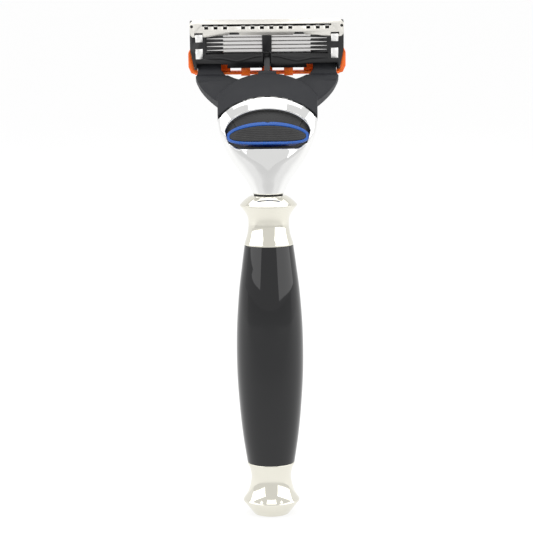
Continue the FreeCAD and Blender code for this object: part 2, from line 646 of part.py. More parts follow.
def blade_and_support(index):
    """One blade on its bent support, edge towards the guard."""
    v = FIRST_BLADE_V + index * BLADE_PITCH
    rise = radians(BLADE_ANGLE)
    bend_y = 0.95
    tip_y = bend_y + 0.6 * sin(rise) * 1.5
    leg_top = v + 0.28
    back = (LEG_BACK, LEG_BACK + SUPPORT_THICK)
    leg = block((-LEG_HALF, LEG_HALF), (LEG_BACK, bend_y), (leg_top, leg_top + SUPPORT_THICK))
    flange = block((-LEG_HALF, LEG_HALF), back, (leg_top - 0.55, leg_top + SUPPORT_THICK))
    tongue = flat_shape([(LEG_HALF - 0.1, leg_top - 0.2), (15.9, leg_top - 0.1), (15.9, leg_top),
                         (LEG_HALF - 0.1, leg_top + SUPPORT_THICK)], *back)
    leg = leg.fuse(flange).fuse(both_sides(tongue))
    tails = block((-16.8, 16.8), (-0.4, bend_y), (leg_top, leg_top + SUPPORT_THICK))
    slope = side_shape([(bend_y - 0.02, leg_top), (bend_y - 0.02, leg_top + SUPPORT_THICK),
                        (tip_y + 0.02, v - 0.42), (tip_y - 0.12, v - 0.42)], -16.8, 16.8)
    support = leg.fuse(tails).fuse(slope)
    start_y = bend_y + 0.06
    start_v = leg_top + SUPPORT_THICK - 0.02
    run = V(0, BLADE_WIDTH * sin(rise) * 1.0, -BLADE_WIDTH * cos(rise))
    lift = V(0, BLADE_THICK * cos(rise), BLADE_THICK * sin(rise))
    a = V(0, start_y, start_v)
    corners = [a, a + lift, a + lift * 0.6 + run * 0.72, a + run, a + run * 0.72]
    blade = side_shape([(p.y, p.z) for p in corners], -BLADE_HALF_LENGTH, BLADE_HALF_LENGTH)
    return in_cartridge_frame(blade), in_cartridge_frame(support.cut(blade))


def main():
    os.makedirs("parts", exist_ok=True)
    makers = [
        lower_ferrule, grip, upper_ferrule, tie_rod, neck_washer, head_shell, docking_core, core_screw,
        eject_button, button_pad, ejector_slide, plunger, plunger_spring, connecting_member,
        cartridge_housing, guard, guard_fins, lubricating_strip, trimmer_guard, trimmer_blade,
    ]
    for maker in makers:
        save(maker.__name__, maker())
    save("clip_left", clip(-1))
    save("clip_right", clip(1))
    for index in range(BLADES):
        blade, support = blade_and_support(index)
        save("blade_" + str(index + 1), blade)
        save("blade_support_" + str(index + 1), support)


main()
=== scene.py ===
"""Looks for the cartridge razor: plated metal, gloss resin and moulded plastic over the CAD frame."""
import json
import math

import bmesh
import bpy
from mathutils import Euler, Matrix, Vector

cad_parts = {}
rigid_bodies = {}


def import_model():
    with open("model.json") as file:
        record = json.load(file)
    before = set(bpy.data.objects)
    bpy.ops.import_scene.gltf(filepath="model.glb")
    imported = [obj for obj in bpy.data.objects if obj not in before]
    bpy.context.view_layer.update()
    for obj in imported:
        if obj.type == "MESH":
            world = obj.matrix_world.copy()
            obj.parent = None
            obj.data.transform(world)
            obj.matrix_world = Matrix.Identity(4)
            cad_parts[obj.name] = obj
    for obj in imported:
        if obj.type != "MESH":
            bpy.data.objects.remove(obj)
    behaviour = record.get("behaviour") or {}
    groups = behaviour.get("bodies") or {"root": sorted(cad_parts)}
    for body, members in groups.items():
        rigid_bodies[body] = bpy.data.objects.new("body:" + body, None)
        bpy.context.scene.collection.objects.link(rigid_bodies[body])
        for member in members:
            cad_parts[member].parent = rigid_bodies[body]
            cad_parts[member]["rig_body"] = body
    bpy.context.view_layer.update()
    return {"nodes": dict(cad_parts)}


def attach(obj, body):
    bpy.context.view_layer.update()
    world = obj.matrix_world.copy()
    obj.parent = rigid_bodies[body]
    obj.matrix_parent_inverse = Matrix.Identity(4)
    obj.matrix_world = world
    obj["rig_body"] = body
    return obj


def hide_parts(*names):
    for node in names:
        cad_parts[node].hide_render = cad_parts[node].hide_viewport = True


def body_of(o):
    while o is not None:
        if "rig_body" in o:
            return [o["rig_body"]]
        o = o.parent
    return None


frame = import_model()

MM = 0.001
TURN = 2 * math.pi

# ---- the head's form, in millimetres ----------------------------------------------------
NECK_Z = 85.8
BEND_R = 45.0
DOCK_TILT = math.radians(30)
DOCK_Y = BEND_R * (1 - math.cos(DOCK_TILT))
DOCK_Z = NECK_Z + BEND_R * math.sin(DOCK_TILT)
CROWN_R = 22.1
CROWN_S = 0.2
SHELL_WALL = 1.2
STATIONS = [
    (85.8, 4.17, 4.15), (88.6, 5.45, 4.2), (91.6, 7.55, 4.45), (94.6, 9.6, 4.8), (98.0, 11.35, 5.1),
    (101.5, 12.55, 5.3), (105.0, 13.05, 5.25), (108.6, 13.1, 5.0), (112.0, 12.9, 4.7),
]
WINDOW_SAG, WINDOW_LOW, WINDOW_SIDE, WINDOW_WIDE, WINDOW_TOP = -13.9, -13.2, -10.7, -8.9, -3.5
WINDOW_LOW_HALF, WINDOW_SIDE_HALF, WINDOW_WIDE_HALF = 7.9, 11.15, 11.35
BUTTON_S = -10.05
BUTTON_T = 4.5
BUTTON_HALF = (10.8, 3.2)
PAD_HALF = (9.9, 2.2)
PAD_SHIFT = 0.22
PAD_PITCH = 0.52
BUTTON_FACE_HALF = 13.4
DOCK_AXIS = Vector((0, math.sin(DOCK_TILT), math.cos(DOCK_TILT)))


# ---- mesh helpers -----------------------------------------------------------------------
def catmull(points, steps):
    """A smooth run through points, which are tuples of any length."""
    out = []
    ends = [points[0], *points, points[-1]]
    for i in range(len(points) - 1):
        p0, p1, p2, p3 = ends[i:i + 4]
        for k in range(steps):
            t = k / steps
            out.append(tuple(
                0.5 * (2 * b + (c - a) * t + (2 * a - 5 * b + 4 * c - d) * t * t
                       + (3 * b - a - 3 * c + d) * t ** 3)
                for a, b, c, d in zip(p0, p1, p2, p3)))
    out.append(tuple(points[-1]))
    return out


def fillet(path, radius, steps=4, closed=False):
    """Round the sharp corners of a polyline of 2-D points."""
    out = []
    count = len(path)
    for i, p in enumerate(path):
        if not closed and i in (0, count - 1):
            out.append(p)
            continue
        a, b, c = (Vector(path[i - 1]), Vector(p), Vector(path[(i + 1) % count]))
        back, ahead = a - b, c - b
        if math.pi - back.angle(ahead) < math.radians(15):
            out.append(p)
            continue
        r = min(radius, back.length * 0.45, ahead.length * 0.45)
        start, end = b + back.normalized() * r, b + ahead.normalized() * r
        for k in range(steps + 1):
            t = k / steps
            q = start.lerp(b, t).lerp(b.lerp(end, t), t)
            out.append((q.x, q.y))
    return out


def add_piece(name, mesh, body, material, replaced):
    piece = bpy.data.objects.new(name, mesh)
    bpy.context.scene.collection.objects.link(piece)
    mesh.shade_smooth()
    mesh.materials.clear()
    mesh.materials.append(material)
    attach(piece, body)
    if replaced:
        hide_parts(*replaced)
    return piece


def skin(name, rows, body, material, replaced=(), cap_first=False, cap_last=False, extra=None):
    """A mesh whose closed rows of points, in millimetres, are joined in quads.

    extra is an optional function that works on the mesh and its rows of vertices before it is kept.
    """
    bm = bmesh.new()
    made = [[bm.verts.new(Vector(p) * MM) for p in row] for row in rows]
    for low, high in zip(made, made[1:]):
        count = len(low)
        for i in range(count):
            j = (i + 1) % count
            bm.faces.new((low[i], low[j], high[j], high[i]))
    for row, wanted in ((made[0], cap_first), (made[-1], cap_last)):
        if wanted:
            middle = bm.verts.new(sum((v.co for v in row), Vector()) / len(row))
            for i, v in enumerate(row):
                bm.faces.new((v, row[(i + 1) % len(row)], middle))
    if extra:
        extra(bm, made)
    bmesh.ops.remove_doubles(bm, verts=bm.verts, dist=1e-7)
    bmesh.ops.recalc_face_normals(bm, faces=bm.faces)
    mesh = bpy.data.meshes.new(name)
    bm.to_mesh(mesh)
    bm.free()
    return add_piece(name, mesh, body, material, replaced)


def lathe(name, profile, body, material, replaced, sides=160):
    """Turn a profile of (radius, height) points about the handle's axis."""
    rows = []
    for r, z in profile:
        r = max(r, 0.01)
        angles = [TURN * i / sides for i in range(sides)]
        rows.append([(r * math.cos(a), r * math.sin(a), z) for a in angles])
    return skin(name, rows, body, material, replaced, cap_first=True, cap_last=True)


def baked(piece_name, source, modifiers):
    """A new mesh: the source mesh after a list of (type, settings) modifiers."""
    work = bpy.data.objects.new("work", source)
    bpy.context.scene.collection.objects.link(work)
    for kind, settings in modifiers:
        modifier = work.modifiers.new(kind, kind)
        for key, value in settings.items():
            setattr(modifier, key, value)
    graph = bpy.context.evaluated_depsgraph_get()
    mesh = bpy.data.meshes.new_from_object(work.evaluated_get(graph))
    mesh.name = piece_name
    bpy.data.objects.remove(work)
    return mesh


def bevelled(node, width, material, angle=28):
    """A copy of a CAD node with its hard edges broken, which stands for the node."""
    source = frame["nodes"][node].data.copy()
    bm = bmesh.new()
    bm.from_mesh(source)
    bmesh.ops.remove_doubles(bm, verts=bm.verts, dist=2e-6)
    bmesh.ops.dissolve_limit(bm, angle_limit=math.radians(1.5), verts=bm.verts, edges=bm.edges)
    bm.to_mesh(source)
    bm.free()
    name = node + "_finish"
    mesh = baked(name, source, [
        ("BEVEL", {"width": width * MM, "segments": 2, "limit_method": "ANGLE",
                   "angle_limit": math.radians(angle), "harden_normals": True}),
        ("WEIGHTED_NORMAL", {"keep_sharp": False}),
    ])
    return add_piece(name, mesh, body_of(frame["nodes"][node])[0], material, [node])


def moulded(node, voxel, rounds, material, keep=0.5):
    """A copy of a CAD node remeshed finely and relaxed, so that every edge is softly rounded."""
    name = node + "_finish"
    mesh = baked(name, frame["nodes"][node].data.copy(), [
        ("REMESH", {"mode": "VOXEL", "voxel_size": voxel * MM}),
        ("CORRECTIVE_SMOOTH", {"iterations": rounds, "use_only_smooth": True, "smooth_type": "SIMPLE"}),
        ("DECIMATE", {"ratio": keep}),
    ])
    return add_piece(name, mesh, body_of(frame["nodes"][node])[0], material, [node])


# ---- materials --------------------------------------------------------------------------
COAT_ROUGHNESS = 0.03
SOFT_DEPTH = 0.0006
BROAD_TO_FINE = 0.06
RELIEF_DEPTH = 0.00002
MARK_DEPTH = 0.00001


def surface(name, colour, other, rough, metal=0.0, grain=4000.0, bump=0.05, stretch=(1, 1, 1), coat=0.0,
            sheen=0.0, soft=0.0, marks=None, specular=0.5):
    """A procedural material: two close tones, a roughness that wanders and a fine relief.

    rough is a (low, high) pair, grain the relief's noise scale per metre, marks an optional
    (scale, axis) pair of regular tool marks.
    """
    material = bpy.data.materials.new(name)
    material.use_nodes = True
    nodes, links = material.node_tree.nodes, material.node_tree.links
    shader = nodes["Principled BSDF"]
    shader.inputs["Metallic"].default_value = metal
    shader.inputs["Specular IOR Level"].default_value = specular
    shader.inputs["Coat Weight"].default_value = coat
    shader.inputs["Coat Roughness"].default_value = COAT_ROUGHNESS
    shader.inputs["Sheen Weight"].default_value = sheen
    shader.inputs["Subsurface Weight"].default_value = soft
    shader.inputs["Subsurface Scale"].default_value = SOFT_DEPTH
    place = nodes.new("ShaderNodeTexCoord")
    mapping = nodes.new("ShaderNodeMapping")
    mapping.inputs["Scale"].default_value = stretch
    links.new(place.outputs["Object"], mapping.inputs["Vector"])

    broad = nodes.new("ShaderNodeTexNoise")
    broad.inputs["Scale"].default_value = grain * BROAD_TO_FINE
    broad.inputs["Detail"].default_value = 5
    fine = nodes.new("ShaderNodeTexNoise")
    fine.inputs["Scale"].default_value = grain
    fine.inputs["Detail"].default_value = 4
    for texture in (broad, fine):
        links.new(mapping.outputs["Vector"], texture.inputs["Vector"])

    tone = nodes.new("ShaderNodeMix")
    tone.data_type = "RGBA"
    tone.inputs["A"].default_value = (*colour, 1)
    tone.inputs["B"].default_value = (*other, 1)
    links.new(broad.outputs["Fac"], tone.inputs["Factor"])
    links.new(tone.outputs["Result"], shader.inputs["Base Color"])

    spread = nodes.new("ShaderNodeMapRange")
    spread.inputs["From Min"].default_value = 0.3
    spread.inputs["From Max"].default_value = 0.7
    spread.inputs["To Min"].default_value = rough[0]
    spread.inputs["To Max"].default_value = rough[1]
    links.new(broad.outputs["Fac"], spread.inputs["Value"])
    links.new(spread.outputs["Result"], shader.inputs["Roughness"])

    relief = nodes.new("ShaderNodeBump")
    relief.inputs["Strength"].default_value = bump
    relief.inputs["Distance"].default_value = RELIEF_DEPTH
    links.new(fine.outputs["Fac"], relief.inputs["Height"])
    if marks:
        wave = nodes.new("ShaderNodeTexWave")
        wave.bands_direction = marks[1]
        wave.inputs["Scale"].default_value = marks[0]
        wave.inputs["Distortion"].default_value = 0.6
        wave.inputs["Detail"].default_value = 3
        links.new(place.outputs["Object"], wave.inputs["Vector"])
        lines = nodes.new("ShaderNodeBump")
        lines.inputs["Strength"].default_value = bump
        lines.inputs["Distance"].default_value = MARK_DEPTH
        links.new(wave.outputs["Fac"], lines.inputs["Height"])
        links.new(relief.outputs["Normal"], lines.inputs["Normal"])
        relief = lines
    links.new(relief.outputs["Normal"], shader.inputs["Normal"])
    return material


NICKEL = surface("nickel_plate", (0.81, 0.79, 0.70), (0.775, 0.755, 0.665), (0.035, 0.075), metal=1.0,
                 bump=0.02, marks=(1400, "Z"))
CHROME = surface("head_chrome", (0.88, 0.88, 0.87), (0.84, 0.84, 0.83), (0.02, 0.05), metal=1.0, bump=0.01)
RESIN = surface("black_resin", (0.0035, 0.0037, 0.0045), (0.006, 0.0062, 0.007), (0.10, 0.18), bump=0.015,
                coat=1.0, grain=2500.0, specular=0.0)
WASHER = surface("washer_rubber", (0.012, 0.012, 0.012), (0.02, 0.02, 0.02), (0.5, 0.7), bump=0.2)
STEEL = surface("rod_steel", (0.62, 0.61, 0.60), (0.55, 0.54, 0.53), (0.25, 0.4), metal=1.0,
                stretch=(1, 1, 0.05))
CORE = surface("core_plastic", (0.007, 0.007, 0.008), (0.010, 0.010, 0.011), (0.35, 0.5), bump=0.15)
SCREW = surface("screw_steel", (0.60, 0.60, 0.60), (0.5, 0.5, 0.5), (0.2, 0.35), metal=1.0)
BLUE = surface("button_blue", (0.010, 0.095, 0.40), (0.008, 0.075, 0.34), (0.22, 0.34), bump=0.08, soft=0.1)
# A darker navy copy of the button's blue plastic: painted shade for the skirt's side wall, which is the same
# plastic lying in shadow.
SKIRT_PAINTED_SHADE = surface("skirt_blue_painted_shade", (0.002, 0.008, 0.06), (0.003, 0.010, 0.075), (0.18, 0.28), bump=0.08)
PAD = surface("pad_rubber", (0.012, 0.012, 0.0125), (0.018, 0.018, 0.0185), (0.5, 0.68), bump=0.5,
              grain=6000.0)
CHARCOAL = surface("slide_charcoal", (0.018, 0.018, 0.0185), (0.024, 0.024, 0.0245), (0.38, 0.5), bump=0.2,
                   grain=7000.0)
PLUNGER = surface("plunger_grey", (0.022, 0.0225, 0.024), (0.029, 0.0295, 0.031), (0.35, 0.5), bump=0.2)
MEMBER = surface("member_grey", (0.019, 0.020, 0.023), (0.025, 0.026, 0.030), (0.48, 0.62), bump=0.5,
                 grain=9000.0, specular=0.28)
HOUSING = surface("housing_black", (0.004, 0.004, 0.005), (0.008, 0.008, 0.009), (0.26, 0.40), bump=0.2,
                  grain=7000.0)
ORANGE = surface("guard_orange", (1.0, 0.175, 0.007), (1.0, 0.15, 0.005), (0.34, 0.48), bump=0.2, soft=0.1)
FIN = surface("fin_elastomer", (0.03, 0.035, 0.05), (0.04, 0.045, 0.065), (0.55, 0.7), bump=0.4, sheen=0.1)
STRIP = surface("strip_polymer", (0.36, 0.66, 0.80), (0.62, 0.82, 0.88), (0.5, 0.75), bump=0.7, grain=5000.0)
COMB = surface("comb_metal", (0.86, 0.84, 0.79), (0.80, 0.78, 0.73), (0.36, 0.50), metal=1.0,
               stretch=(0.05, 1, 1), bump=0.25)
BLADE = surface("blade_steel", (0.78, 0.78, 0.78), (0.70, 0.70, 0.71), (0.12, 0.22), metal=1.0,
                stretch=(0.04, 1, 1), bump=0.2)
SUPPORT = surface("support_steel", (0.82, 0.81, 0.80), (0.74, 0.73, 0.72), (0.2, 0.34), metal=1.0,
                  stretch=(0.04, 1, 1), bump=0.25)
CLIP = surface("clip_metal", (0.95, 0.945, 0.93), (0.90, 0.895, 0.88), (0.32, 0.44), metal=1.0,
               stretch=(1, 1, 0.08), bump=0.2)


# ---- handle -----------------------------------------------------------------------------
def ferrules():
    low = [(0, 0), (4.65, 0), (7.5, 3.6), (7.5, 3.9)]
    low += catmull([(7.5, 3.95), (6.1, 6.2), (5.33, 9.6), (5.6, 12.0), (6.28, 13.7)], 10)[1:]
    low += [(6.28, 14.08), (4.0, 14.08)]
    lathe("lower_ferrule_finish", fillet(low, 0.22, 5), "handle", NICKEL, ["lower_ferrule"])
    high = [(4.0, 72.27), (6.43, 72.27), (6.43, 72.65)]
    high += catmull([(6.43, 72.65), (5.62, 75.3), (5.35, 78.2), (5.8, 80.3), (7.5, 82.6)], 10)[1:]
    high += catmull([(7.5, 82.9), (6.95, 83.5), (6.15, 84.25), (5.3, 84.88), (4.5, 85.28)], 6)
    high += [(2.2, 85.28)]
    lathe("upper_ferrule_finish", fillet(high, 0.2, 5), "handle", NICKEL, ["upper_ferrule"])


def grip():
    side = catmull([(6.28, 14.12), (7.35, 21.2), (8.15, 29), (8.75, 38.8), (8.72, 49.5), (8.05, 59.5),
                    (7.2, 66.5), (6.43, 72.23)], 14)
    profile = [(4.0, 14.12), *side, (4.0, 72.23)]
    lathe("grip_finish", fillet(profile, 0.18, 4), "handle", RESIN, ["grip"])


def washer():
    ring = fillet([(2.2, 85.3), (3.8, 85.3), (3.8, 85.78), (2.2, 85.78)], 0.15, 4)
    lathe("neck_washer_finish", ring, "handle", WASHER, ["neck_washer"])


# ---- head shell -------------------------------------------------------------------------
LOFT = catmull(STATIONS, 24)


def half_axes(z):
    """Half width and half depth of the head at a centreline height."""
    for low, high in zip(LOFT, LOFT[1:]):
        if z <= high[0]:
            k = (z - low[0]) / (high[0] - low[0])
            return low[1] + (high[1] - low[1]) * k, low[2] + (high[2] - low[2]) * k
    return LOFT[-1][1], LOFT[-1][2]


def centreline(z):
    """Place (y) and tilt of the head's centreline at a height."""
    if z < DOCK_Z:
        tilt = math.asin(max(0.0, (z - NECK_Z) / BEND_R))
        return BEND_R * (1 - math.cos(tilt)), tilt
    along = (z - DOCK_Z) / math.cos(DOCK_TILT)
    return DOCK_Y + along * math.sin(DOCK_TILT), DOCK_TILT


def shell_point(u, z):
    """Point on the head, u turning from +X towards the thumb side."""
    a, b = half_axes(z)
    y, tilt = centreline(z)
    out = b * math.sin(u)
    return Vector((a * math.cos(u), y - out * math.cos(tilt), z + out * math.sin(tilt)))


def along_dock(p):
    """Distance of a point along the docking axis."""
    return (p.y - DOCK_Y) * math.sin(DOCK_TILT) + (p.z - DOCK_Z) * math.cos(DOCK_TILT)


def from_dock(x, s, t):
    """A point from its place across, along and behind the docking line."""
    return Vector((x, DOCK_Y + s * math.sin(DOCK_TILT) - t * math.cos(DOCK_TILT),
                   DOCK_Z + s * math.cos(DOCK_TILT) + t * math.sin(DOCK_TILT)))


def crown(x):
    """Height of the head's crowned top edge along the docking axis."""
    return CROWN_S - CROWN_R + math.sqrt(max(0.0, CROWN_R ** 2 - x * x))


def bisect(low, high, too_high):
    """The largest value between low and high for which too_high is still false."""
    for _ in range(40):
        middle = (low + high) / 2
        if too_high(middle):
            high = middle
        else:
            low = middle
    return low


def top_height(u):
    """Centreline height at which the head's side, at turn u, meets its crowned top edge."""
    def above(z):
        p = shell_point(u, z)
        return along_dock(p) > crown(p.x)
    return bisect(98.0, 114.0, above)


def shell_normal(u, z):
    """Outward direction of the head's surface."""
    nudge = 0.01
    across = shell_point(u + nudge, z) - shell_point(u - nudge, z)
    along = shell_point(u, z + nudge) - shell_point(u, z - nudge)
    return along.cross(across).normalized()


def window_path():
    """The button opening as (x, s) points, counter-clockwise, its corners rounded."""
    rise = WINDOW_TOP - WINDOW_WIDE
    angles = [math.pi * k / 40 for k in range(41)]
    arch = [(WINDOW_WIDE_HALF * math.cos(a), WINDOW_WIDE + rise * math.sin(a)) for a in angles]
    shares = [k / 8 for k in range(-8, 9)]
    low = [(WINDOW_LOW_HALF * f, WINDOW_SAG + (WINDOW_LOW - WINDOW_SAG) * f ** 2) for f in shares]
    left = (-WINDOW_SIDE_HALF, WINDOW_SIDE)
    right = (WINDOW_SIDE_HALF, WINDOW_SIDE)
    return fillet([*low, right, *arch, left], 1.3, 6, closed=True)


def head_shell():
    """The head as one loft, with a patch of its grid rebuilt round the button's opening.

    A place on the loft is a column i, round the head, and a share w of the way from neck to top.
    """
    sides = 192
    first, last = 14, 82
    levels = [0.0, 0.012, 0.024, 0.04, 0.07] + [0.07 + 0.93 * k / 56 for k in range(1, 57)]
    patch_low, patch_high = 16, 55
    tops = [top_height(TURN * i / sides) for i in range(sides)]

    def at(i, w):
        """Turn and centreline height of a place on the loft."""
        u = TURN * i / sides
        k = int(i) % sides
        top = tops[k] + (tops[(k + 1) % sides] - tops[k]) * (i - int(i))
        return u, NECK_Z + (top - NECK_Z) * w

    rows = [[shell_point(*at(i, w)) for i in range(sides)] for w in levels]
    top_lip = 0.16
    rim = []
    for turn, depth in ((30, 0), (60, 0), (90, 0), (90, SHELL_WALL - 0.1)):
        angle = math.radians(turn)
        row = []
        for i in range(sides):
            u, z = at(i, 1.0)
            sunk = top_lip * (1 - math.cos(angle)) + depth
            lift = top_lip * (math.sin(angle) - 1)
            row.append(shell_point(u, z) - shell_normal(u, z) * sunk + DOCK_AXIS * lift)
        rim.append(row)
    foot = [Vector((p.x / 2, p.y / 2, p.z)) for p in rows[0]]
    rows.insert(0, foot)

    middle = ((first + last) / 2, (levels[patch_low] + levels[patch_high]) / 2)

    def to_surface(x, s):
        """Place on the loft of a point of the opening's outline."""
        def turn_at(z):
            return math.acos(max(-1, min(1, x / half_axes(z)[0])))

        z = bisect(90.0, 113.0, lambda height: along_dock(shell_point(turn_at(height), height)) > s)
        i = turn_at(z) / TURN * sides
        top = top_height(i / sides * TURN)
        return i, (z - NECK_Z) / (top - NECK_Z)

    hole = [to_surface(x, s) for x, s in window_path()]

    def ray_hit(i, w):
        """Where the line from the opening's middle through a place crosses the outline."""
        di, dw = i - middle[0], w - middle[1]
        best = None
        for (ia, wa), (ib, wb) in zip(hole, hole[1:] + hole[:1]):
            ea, eb = ib - ia, wb - wa
            det = di * -eb + dw * ea
            if abs(det) < 1e-12:
                continue
            ra, rb = ia - middle[0], wa - middle[1]
            t = (ra * -eb + rb * ea) / det
            k = (di * rb - dw * ra) / det
            if t > 0 and -1e-9 <= k <= 1 + 1e-9 and (best is None or t > best):
                best = t
        return middle[0] + di * best, middle[1] + dw * best

    def fill_patch(bm, made):
        """Swap the patch's quads for rings that close in on the opening and roll over its edge."""
        grid = made[1:]
        keep_out = set()
        for r in range(patch_low, patch_high):
            for i in range(first, last):
                keep_out.add(frozenset((grid[r][i], grid[r][i + 1], grid[r + 1][i + 1], grid[r + 1][i])))
        doomed = [f for f in bm.faces if frozenset(f.verts) in keep_out]
        bmesh.ops.delete(bm, geom=doomed, context="FACES_ONLY")
        ring = [(patch_low, i) for i in range(first, last)]
        ring += [(r, last) for r in range(patch_low, patch_high)]
        ring += [(patch_high, i) for i in range(last, first, -1)]
        ring += [(r, first) for r in range(patch_high, patch_low, -1)]
        previous = [grid[r][i] for r, i in ring]
        edge = [ray_hit(i, levels[r]) for r, i in ring]
        window_lip = 0.28
        steps = 9
        mouth, normals, inward = [], [], []
        centre = shell_point(*at(middle[0], middle[1]))
        for i, w in edge:
            u, z = at(i, w)
            mouth.append(shell_point(u, z))
            normals.append(shell_normal(u, z))
        count = len(mouth)
        for k in range(count):
            along = (mouth[(k + 1) % count] - mouth[k - 1]).normalized()
            into = along.cross(normals[k]).normalized()
            if into.dot(centre - mouth[k]) < 0:
                into = -into
            inward.append(into)

        def join(old, new):
            for k in range(count):
                n = (k + 1) % count
                bm.faces.new((old[k], old[n], new[n], new[k]))
            return new

        for step in range(1, steps):
            fraction = step / (steps - 1)
            row = []
            for k, (r, i) in enumerate(ring):
                goal_i, goal_w = edge[k]
                u, z = at(i + (goal_i - i) * fraction, levels[r] + (goal_w - levels[r]) * fraction)
                p = shell_point(u, z)
                if step == steps - 1:
                    p = p - inward[k] * window_lip
                row.append(bm.verts.new(p * MM))
            previous = join(previous, row)
        for turn, depth in ((25, 0), (50, 0), (75, 0), (90, 0), (90, 0.9)):
            angle = math.radians(turn)
            aside = window_lip * (1 - math.sin(angle))
            sunk = window_lip * (1 - math.cos(angle)) + depth
            points = [mouth[k] - inward[k] * aside - normals[k] * sunk for k in range(count)]
            previous = join(previous, [bm.verts.new(p * MM) for p in points])

    skin("head_shell_finish", rows + rim, "handle", CHROME, ["head_shell"], extra=fill_patch)


# ---- eject button -----------------------------------------------------------------------
def dome(x):
    """How far the button's curved face stands behind the docking line."""
    return BUTTON_T * math.sqrt(max(0.0, 1 - (x / BUTTON_FACE_HALF) ** 2))


def oval_point(angle, half, drop=0.0, shift=0.0):
    """Point on an oval of the button's face, fuller below than above."""
    c, s = math.cos(angle), math.sin(angle)
    fullness = 2.5 if s < 0 else 2.0
    x = half[0] * math.copysign(abs(c) ** (2 / fullness), c)
    v = half[1] * math.copysign(abs(s) ** (2 / fullness), s)
    return from_dock(x, BUTTON_S + shift + v, dome(x) - drop)


def skirt_point(angle, t):
    """Foot of the button: it follows the opening below and the oval above."""
    c, s = math.cos(angle), math.sin(angle)
    x = BUTTON_HALF[0] * math.copysign(abs(c) ** 0.8, c)
    if s >= 0:
        return from_dock(x, BUTTON_S + BUTTON_HALF[1] * s, t)
    reach = WINDOW_LOW + 0.12 - BUTTON_S
    corner = (WINDOW_WIDE_HALF - abs(x)) / (WINDOW_WIDE_HALF - WINDOW_LOW_HALF)
    edge = BUTTON_S + reach * min(1.0, corner * 0.78)
    return from_dock(x, min(edge, BUTTON_S + BUTTON_HALF[1] * -abs(s) ** 0.8), t)


def eject_button():
    count = 160
    turns = [TURN * i / count for i in range(count)]
    skirt_half = (BUTTON_HALF[0] - 0.06, BUTTON_HALF[1] - 0.06)
    skirt = []
    for drop, blend in ((0.32, 1.0), (0.40, 0.86), (0.62, 0.6), (1.0, 0.3), (1.4, 0.0)):
        skirt.append([skirt_point(a, 2.75).lerp(oval_point(a, skirt_half, drop), blend) for a in turns])
    # The skirt wears the darker navy copy of the button's blue, painted shade rather than a colour of its
    # own.
    skin("button_skirt", skirt, "ejector", SKIRT_PAINTED_SHADE, cap_first=True, cap_last=True)

    rows = [[oval_point(a, BUTTON_HALF, 0.5) for a in turns]]
    for inset, drop in ((0.0, 0.20), (0.04, 0.08), (0.12, 0.01), (0.3, 0.0), (0.6, 0.0), (0.78, 0.01),
                        (0.84, 0.07), (0.86, 0.4)):
        half = (BUTTON_HALF[0] - inset, BUTTON_HALF[1] - inset)
        share = max(0.0, inset - 0.12) / 0.74
        row = []
        for a in turns:
            p = oval_point(a, half, drop, shift=-PAD_SHIFT * share)
            if inset < 0.5 and math.sin(a) > 0:
                dent = 0.34 * math.exp(-(p.x / 0.45) ** 2)
                p -= DOCK_AXIS * dent
            row.append(p)
        rows.append(row)
    skin("eject_button_finish", rows, "ejector", BLUE, ["eject_button"],
         cap_first=True, cap_last=True)

    rows = []
    for inset, drop in ((0.0, 0.35), (0.0, 0.02), (0.06, -0.05), (0.16, -0.09)):
        half = (PAD_HALF[0] - inset, PAD_HALF[1] - inset)
        rows.append([oval_point(a, half, drop, -PAD_SHIFT) for a in turns])
    rings = 30
    for k in range(1, rings):
        scale = 1 - k / rings
        half = ((PAD_HALF[0] - 0.16) * scale, (PAD_HALF[1] - 0.16) * scale)
        fade = min(1.0, k / 4)
        row = []
        for a in turns:
            s = along_dock(oval_point(a, half, 0.0, -PAD_SHIFT))
            ridge = 0.5 + 0.5 * math.cos(TURN * (s - BUTTON_S) / PAD_PITCH)
            row.append(oval_point(a, half, -0.09 - 0.09 * ridge * fade, -PAD_SHIFT))
        rows.append(row)
    skin("button_pad_finish", rows, "ejector", PAD, ["button_pad"],
         cap_first=True, cap_last=True)


# ---- cartridge --------------------------------------------------------------------------
CARTRIDGE_LEAN = math.radians(12)
CARTRIDGE_S, CARTRIDGE_T = 13.63, -1.2
HOUSING_BACK = -2.6


def from_cartridge(x, w, v):
    """A point from its place across the cartridge, towards the skin and up the blade face."""
    origin = from_dock(0, CARTRIDGE_S, CARTRIDGE_T)
    c, s = math.cos(CARTRIDGE_LEAN), math.sin(CARTRIDGE_LEAN)
    return origin + Vector((x, w * c - v * s, w * s + v * c))


def shelf_ridge(side):
    """The glossy waved bead below the blade bay, on one side of the rib."""
    wave = catmull([(1.3, 2.25), (3.2, 2.15), (5.4, 1.55), (8.0, 1.0), (10.4, 1.45), (12.6, 1.75),
                    (16.4, 1.7)], 8)
    bead, around = 0.3, 14
    rows = []
    for k, (x, v) in enumerate(wave):
        ease = min(1.0, (k + 0.3) / 4, (len(wave) - k - 0.7) / 6)
        r = bead * math.sqrt(max(0.05, ease))
        rows.append([from_cartridge(side * x, HOUSING_BACK + 0.05 - r * math.cos(TURN * i / around),
                                    v + r * 1.25 * math.sin(TURN * i / around)) for i in range(around)])
    skin("shelf_ridge_" + ("right" if side > 0 else "left"), rows, "blade_unit", HOUSING,
         cap_first=True, cap_last=True)


# ---- stage ------------------------------------------------------------------------------
def soft_panel(name, place, target, size, radiance):
    """A rectangular light that shines evenly at a given brightness."""
    lamp = bpy.data.lights.new(name, "AREA")
    lamp.shape = "RECTANGLE"
    lamp.size, lamp.size_y = size
    lamp.energy = radiance * math.pi * size[0] * size[1]
    holder = bpy.data.objects.new(name, lamp)
    holder.location = place
    holder.rotation_euler = (Vector(target) - Vector(place)).to_track_quat("-Z", "Y").to_euler()
    bpy.context.scene.collection.objects.link(holder)


